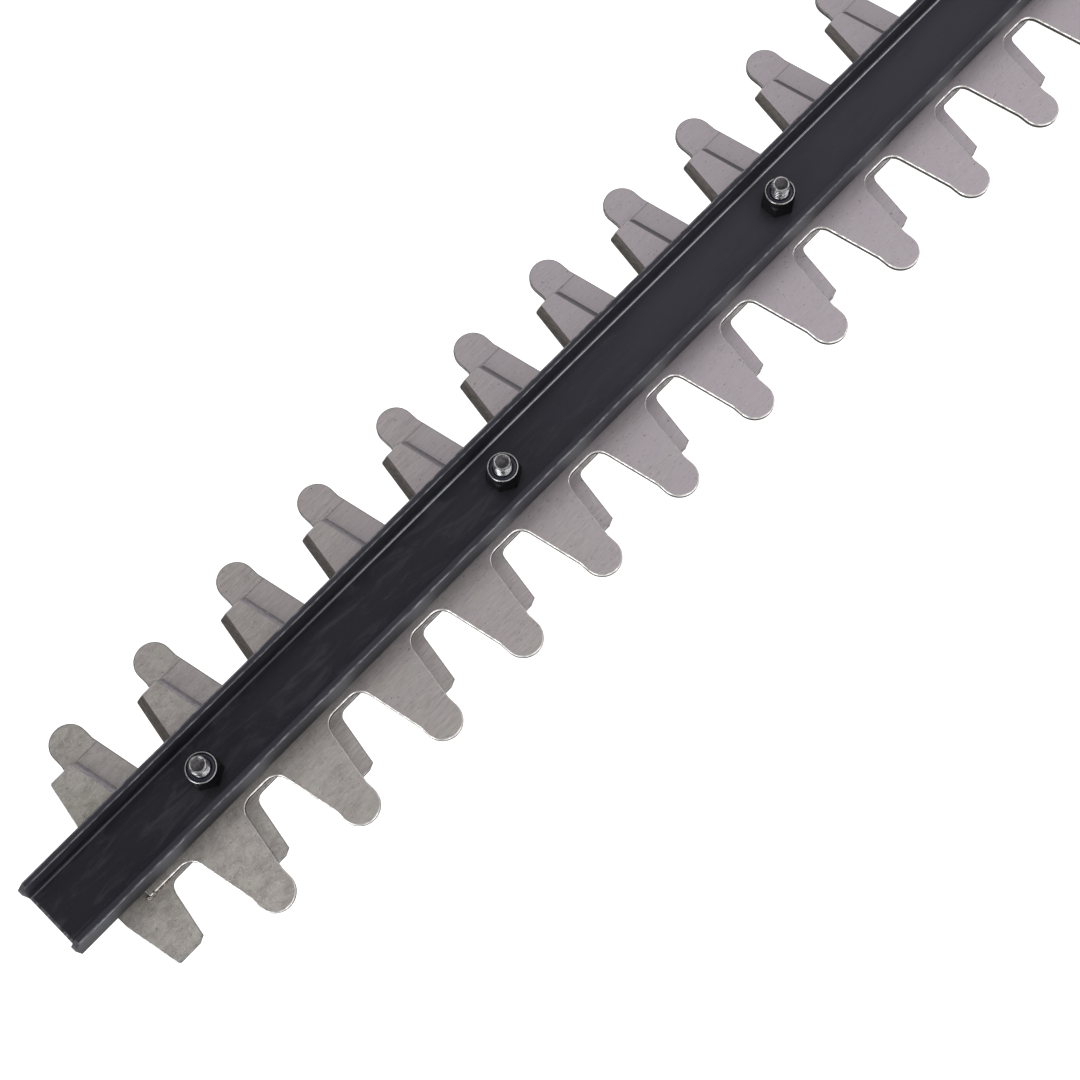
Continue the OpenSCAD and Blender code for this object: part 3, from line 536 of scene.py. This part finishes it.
dress("upper_rod_bush", BRONZE, 0.15)
dress("upper_rod_pin", PLATED, 0.12)
dress("lower_con_rod", MACHINED, 0.4)
dress("lower_rod_bush", BRONZE, 0.15)
dress("lower_rod_pin", PLATED, 0.12)
dress("input_pinion", MACHINED, 0.1)
dress("input_bearing_inners", BEARING, 0.2)
dress("input_bearing_outers", BEARING, 0.2)
dress("input_spacer", MACHINED, 0.12)
dress("input_circlip", BLACK, 0.12)
dress("clamp_screws", PLATED, 0.25)
dress("tube_lock_screw", PLATED, 0.3)


# ---------------------------------------------------------------- mesh helpers

def make_object(name, bm, materials):
    mesh = bpy.data.meshes.new(name)
    bmesh.ops.recalc_face_normals(bm, faces=bm.faces)
    bm.to_mesh(mesh)
    bm.free()
    for material in materials:
        mesh.materials.append(material)
    obj = bpy.data.objects.new(name, mesh)
    bpy.context.scene.collection.objects.link(obj)
    return obj


def add_rings(bm, centre, rows, count, material_rows=None, radius_at=None):
    """A closed skin of rings about a vertical axis. rows holds (radius, height) from one end to
    the other; a radius of zero closes it. radius_at(radius, height, angle) may shape a ring."""
    rings = []
    for radius, height in rows:
        if radius == 0:
            rings.append([bm.verts.new(centre + Vector((0, 0, height)))])
            continue
        ring = []
        for i in range(count):
            angle = math.tau * i / count
            r = radius_at(radius, height, angle) if radius_at else radius
            ring.append(bm.verts.new(centre + Vector((r * math.cos(angle), r * math.sin(angle),
                                                      height))))
        rings.append(ring)
    for row in range(len(rings) - 1):
        low, high = rings[row], rings[row + 1]
        for i in range(count):
            j = (i + 1) % count
            corners = [low[i % len(low)], low[j % len(low)],
                       high[j % len(high)], high[i % len(high)]]
            unique = list(dict.fromkeys(corners))
            if len(unique) < 3:
                continue
            face = bm.faces.new(unique)
            face.smooth = True
            if material_rows:
                face.material_index = material_rows[row]
    return rings


def hex_radius(across, turn=math.radians(30)):
    """Distance to the side of a hexagon, for a ring point at an angle."""
    def at(angle):
        local = (angle - turn) % math.radians(60) - math.radians(30)
        return across / 2 / math.cos(local)
    return at


# ---------------------------------------------------------------- bolts with real threads

THREAD_PITCH = 1.0 * MM
THREAD_DEPTH = 0.55 * MM
THREAD_ROWS_PER_PITCH = 10
THREAD_COLUMNS = 40


def thread_radius(top):
    """Radius of an M6 thread at a height and angle, faded out at the bolt's pointed end."""
    def at(_radius, height, angle):
        phase = (height / THREAD_PITCH - angle / math.tau) % 1.0
        ridge = abs(2 * phase - 1)
        ridge = min(1.0, max(0.0, (ridge - 0.1) / 0.75))
        radius = BOLT_R - THREAD_DEPTH * (1 - ridge)
        point = BOLT_R - 0.42 * MM + 0.7 * (top - height)
        least = min(point, BOLT_R - 0.2 * MM) if top - height < 0.5 * MM else 0
        return min(max(radius, least), point)
    return at


def build_bolts(name, node, places, head_top, thread_low, top):
    """Hexagon bolts standing on their heads, each with a helical thread on its upper end."""
    bm = bmesh.new()
    side = hex_radius(HEX_ACROSS)
    head_low = head_top - HEAD_H
    chamfer = 0.45 * MM
    columns = 96
    for x in places:
        centre = Vector((x, 0, 0))

        def head_radius(radius, height, angle, low=head_low):
            return min(radius, side(angle))

        round_r = HEX_ACROSS / 2 * 0.985
        corner_r = HEX_ACROSS / math.sqrt(3)
        rows = [(0, head_low + 0.25 * MM), (round_r - 2.4 * MM, head_low + 0.25 * MM),
                (round_r - 2.2 * MM, head_low), (round_r, head_low),
                (corner_r, head_low + chamfer), (corner_r, head_top - 0.25 * MM),
                (corner_r - 0.3 * MM, head_top), (BOLT_R, head_top)]
        head = add_rings(bm, centre, rows, columns, radius_at=head_radius)
        bm.faces.new(list(reversed(head[-1])))
        add_rings(bm, centre, [(0, head_top - 0.1 * MM), (BOLT_R - 0.02 * MM, head_top - 0.1 * MM),
                               (BOLT_R - 0.02 * MM, thread_low), (0, thread_low)], 40)
        steps = round((top - thread_low) / THREAD_PITCH * THREAD_ROWS_PER_PITCH)
        rows = [(0, thread_low - 0.1 * MM)]
        rows += [(BOLT_R, thread_low - 0.1 * MM + (top - thread_low + 0.1 * MM) * i / steps)
                 for i in range(steps + 1)]
        last = len(rows) - 1
        rows += [(BOLT_R - 0.95 * MM, top - 0.02 * MM), (BOLT_R - 1.05 * MM, top - 0.22 * MM),
                 (0, top - 0.32 * MM)]
        shape = thread_radius(top)

        def shaft_radius(radius, height, angle, limit=BOLT_R - 0.9 * MM):
            return radius if radius < limit else shape(radius, height, angle)

        add_rings(bm, centre, rows, THREAD_COLUMNS, radius_at=shaft_radius,
                  material_rows=[0] * (last + 1) + [1, 1])
    # Faces deep in the thread grooves get the dark end material. This is painted shade in the
    # grooves.
    for face in bm.faces:
        middle = face.calc_center_median()
        shaded_groove = min(math.hypot(middle.x - x, middle.y) for x in places) < BOLT_R - 0.28 * MM
        if shaded_groove and thread_low < middle.z < top - 0.9 * MM:
            face.material_index = 1
    obj = make_object(name, bm, [BOLT_ZINC, BOLT_END_AND_GROOVE_SHADE])
    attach(obj, "head")
    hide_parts(node)
    return obj


bar_places = [FIRST_BOLT_X + i * BOLT_PITCH for i in range(BAR_BOLTS)]
head_low, head_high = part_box("head_bolts")
build_bolts("bar_bolt_set", "bar_bolts", bar_places, bolts_low.z + HEAD_H,
            nuts_low.z + NUT_HEX_H, bolts_high.z)
build_bolts("head_bolt_set", "head_bolts", HEAD_BOLTS, head_low.z + HEAD_H,
            nuts_low.z + NUT_HEX_H, head_high.z)


# ---------------------------------------------------------------- lock nuts

def build_nuts():
    """Locking nuts: a chamfered black hexagon whose collar is rolled in over a nylon ring."""
    bm = bmesh.new()
    ring_bm = bmesh.new()
    side = hex_radius(HEX_ACROSS)
    low = nuts_low.z
    hex_top = low + NUT_HEX_H
    top = nuts_high.z
    corner_r = HEX_ACROSS / math.sqrt(3)
    bore = BOLT_R + 0.02 * MM
    for x in (*bar_places, *HEAD_BOLTS):
        centre = Vector((x, 0, 0))

        def nut_radius(radius, height, angle):
            return min(radius, side(angle))

        lip = 0.34 * MM
        rows = [(bore, low), (corner_r - 0.75 * MM, low), (corner_r, low + 0.35 * MM),
                (corner_r, hex_top - 0.9 * MM), (corner_r - 0.35 * MM, hex_top - 0.45 * MM),
                (COLLAR_R + 0.35 * MM, hex_top - 0.1 * MM),
                (COLLAR_R + 0.1 * MM, hex_top + 0.1 * MM),
                (COLLAR_R, hex_top + 0.4 * MM), (COLLAR_R, top - lip),
                (COLLAR_R - 0.1 * MM, top - 0.10 * MM), (COLLAR_R - lip, top),
                (COLLAR_R - lip - 0.22 * MM, top - 0.08 * MM),
                (COLLAR_R - lip - 0.32 * MM, top - 0.35 * MM),
                (COLLAR_R - lip - 0.32 * MM, hex_top), (bore, hex_top)]
        bright = (8, 9, 10, 11)
        rings = add_rings(bm, centre, rows, 96, radius_at=nut_radius,
                          material_rows=[1 if i in bright else 0 for i in range(len(rows))])
        for i in range(96):
            j = (i + 1) % 96
            bm.faces.new((rings[-1][i], rings[-1][j], rings[0][j], rings[0][i])).smooth = True
        outer = COLLAR_R - lip - 0.34 * MM
        ring_rows = [(bore, hex_top + 0.02 * MM), (outer, hex_top + 0.02 * MM),
                     (outer, top - 0.55 * MM), (outer - 0.15 * MM, top - 0.42 * MM),
                     (bore + 0.28 * MM, top - 0.36 * MM), (bore, top - 0.5 * MM)]
        rings = add_rings(ring_bm, centre, ring_rows, 64)
        for i in range(64):
            j = (i + 1) % 64
            ring_bm.faces.new((rings[-1][i], rings[-1][j], rings[0][j], rings[0][i])).smooth = True
    nuts = make_object("lock_nut_set", bm, [BLACK, PLATED])
    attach(nuts, "head")
    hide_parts("bar_nuts")
    inserts = make_object("nylon_ring_set", ring_bm, [NYLON])
    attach(inserts, "head")
    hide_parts("nut_inserts")


build_nuts()


# ---------------------------------------------------------------- torn burr on the upper blade

def build_burr():
    """A ragged bead of metal where the upper blade was cropped, on its long-tooth side."""
    bm = bmesh.new()
    start = Vector((blade_low.x + 1.4 * MM, -13.1 * MM, BLADE_TOP - 1.0 * MM))
    lumps = 9
    for i in range(lumps):
        share = i / (lumps - 1)
        spot = start + Vector((share * 8.5 * MM, (0.25 * math.sin(5 * share) - 0.1) * MM, 0))
        size = (1.05 - 0.55 * share) * (0.8 + 0.4 * rng.random()) * MM
        made = bmesh.ops.create_icosphere(bm, subdivisions=3, radius=size)
        for vert in made["verts"]:
            swell = 1 + 0.35 * noise.noise(vert.co / (0.6 * MM) + Vector((7 * i, 3, 1)))
            vert.co = spot + vert.co * swell
            vert.co.z = min(vert.co.z, BLADE_TOP + 0.45 * MM)
    for face in bm.faces:
        face.smooth = True
    obj = make_object("cropped_end_burr", bm, [BURR])
    remesh = obj.modifiers.new("Remesh", "REMESH")
    remesh.mode = "VOXEL"
    remesh.voxel_size = 0.16 * MM
    remesh.use_smooth_shade = True
    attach(obj, "upper_blade")


build_burr()


# ---------------------------------------------------------------- studio

def build_floor():
    bpy.ops.mesh.primitive_plane_add(size=14, location=(-0.4, 0, cad_bounds[0][2] - 0.10))
    floor = bpy.context.object
    floor.name = "studio_floor"
    p = Paint("studio_floor")
    p.finish((0.80, 0.80, 0.80), 0.75, metallic=0.0, Emission_Color=(1, 1, 1, 1),
             Emission_Strength=0.75)
    floor.data.materials.append(p.material)


def panel(name, location, target, width, depth, radiance, color=(1, 1, 1)):
    """A soft box of an even brightness that faces a target."""
    data = bpy.data.lights.new(name, "AREA")
    data.shape = "RECTANGLE"
    data.size = width
    data.size_y = depth
    data.energy = radiance * math.pi * width * depth
    data.color = color
    lamp = bpy.data.objects.new(name, data)
    bpy.context.scene.collection.objects.link(lamp)
    lamp.location = location
    lamp.rotation_euler = (Vector(target) - Vector(location)).to_track_quat("-Z", "Y").to_euler()
    return lamp


def build_world():
    """A dim, even grey room."""
    world = bpy.data.worlds.new("studio")
    bpy.context.scene.world = world
    world.use_nodes = True
    world.node_tree.nodes["Background"].inputs["Color"].default_value = (1, 1, 1, 1)
    world.node_tree.nodes["Background"].inputs["Strength"].default_value = 0.22


def build_studio():
    build_floor()
    build_world()
    middle = (-0.40, 0.0, 0.0)
    panel("overhead", (0.0, -0.1, 1.6), middle, 2.6, 2.0, 0.60)
    panel("near_side", (-0.35, -1.5, 0.70), middle, 2.4, 0.8, 1.9)
    panel("far_end", (1.4, 0.0, 0.5), middle, 1.2, 0.7, 0.6)
    panel("key", (0.45, -0.25, 1.2), middle, 0.4, 0.4, 2.5)
    panel("free_end", (-2.0, -0.15, 0.75), middle, 0.8, 0.9, 5.0)
    bpy.context.scene.view_settings.view_transform = "Standard"


def build_camera():
    data = bpy.data.cameras.new("camera")
    data.sensor_width = 36
    data.lens = 63.28
    data.clip_start = 0.01
    camera = bpy.data.objects.new("camera", data)
    bpy.context.scene.collection.objects.link(camera)
    camera.location = (-0.6241, -0.1587, 0.5371)
    camera.rotation_euler = Euler([math.radians(a) for a in (17.640, 2.170, -46.365)], "XYZ")
    bpy.context.scene.camera = camera


build_studio()
build_camera()
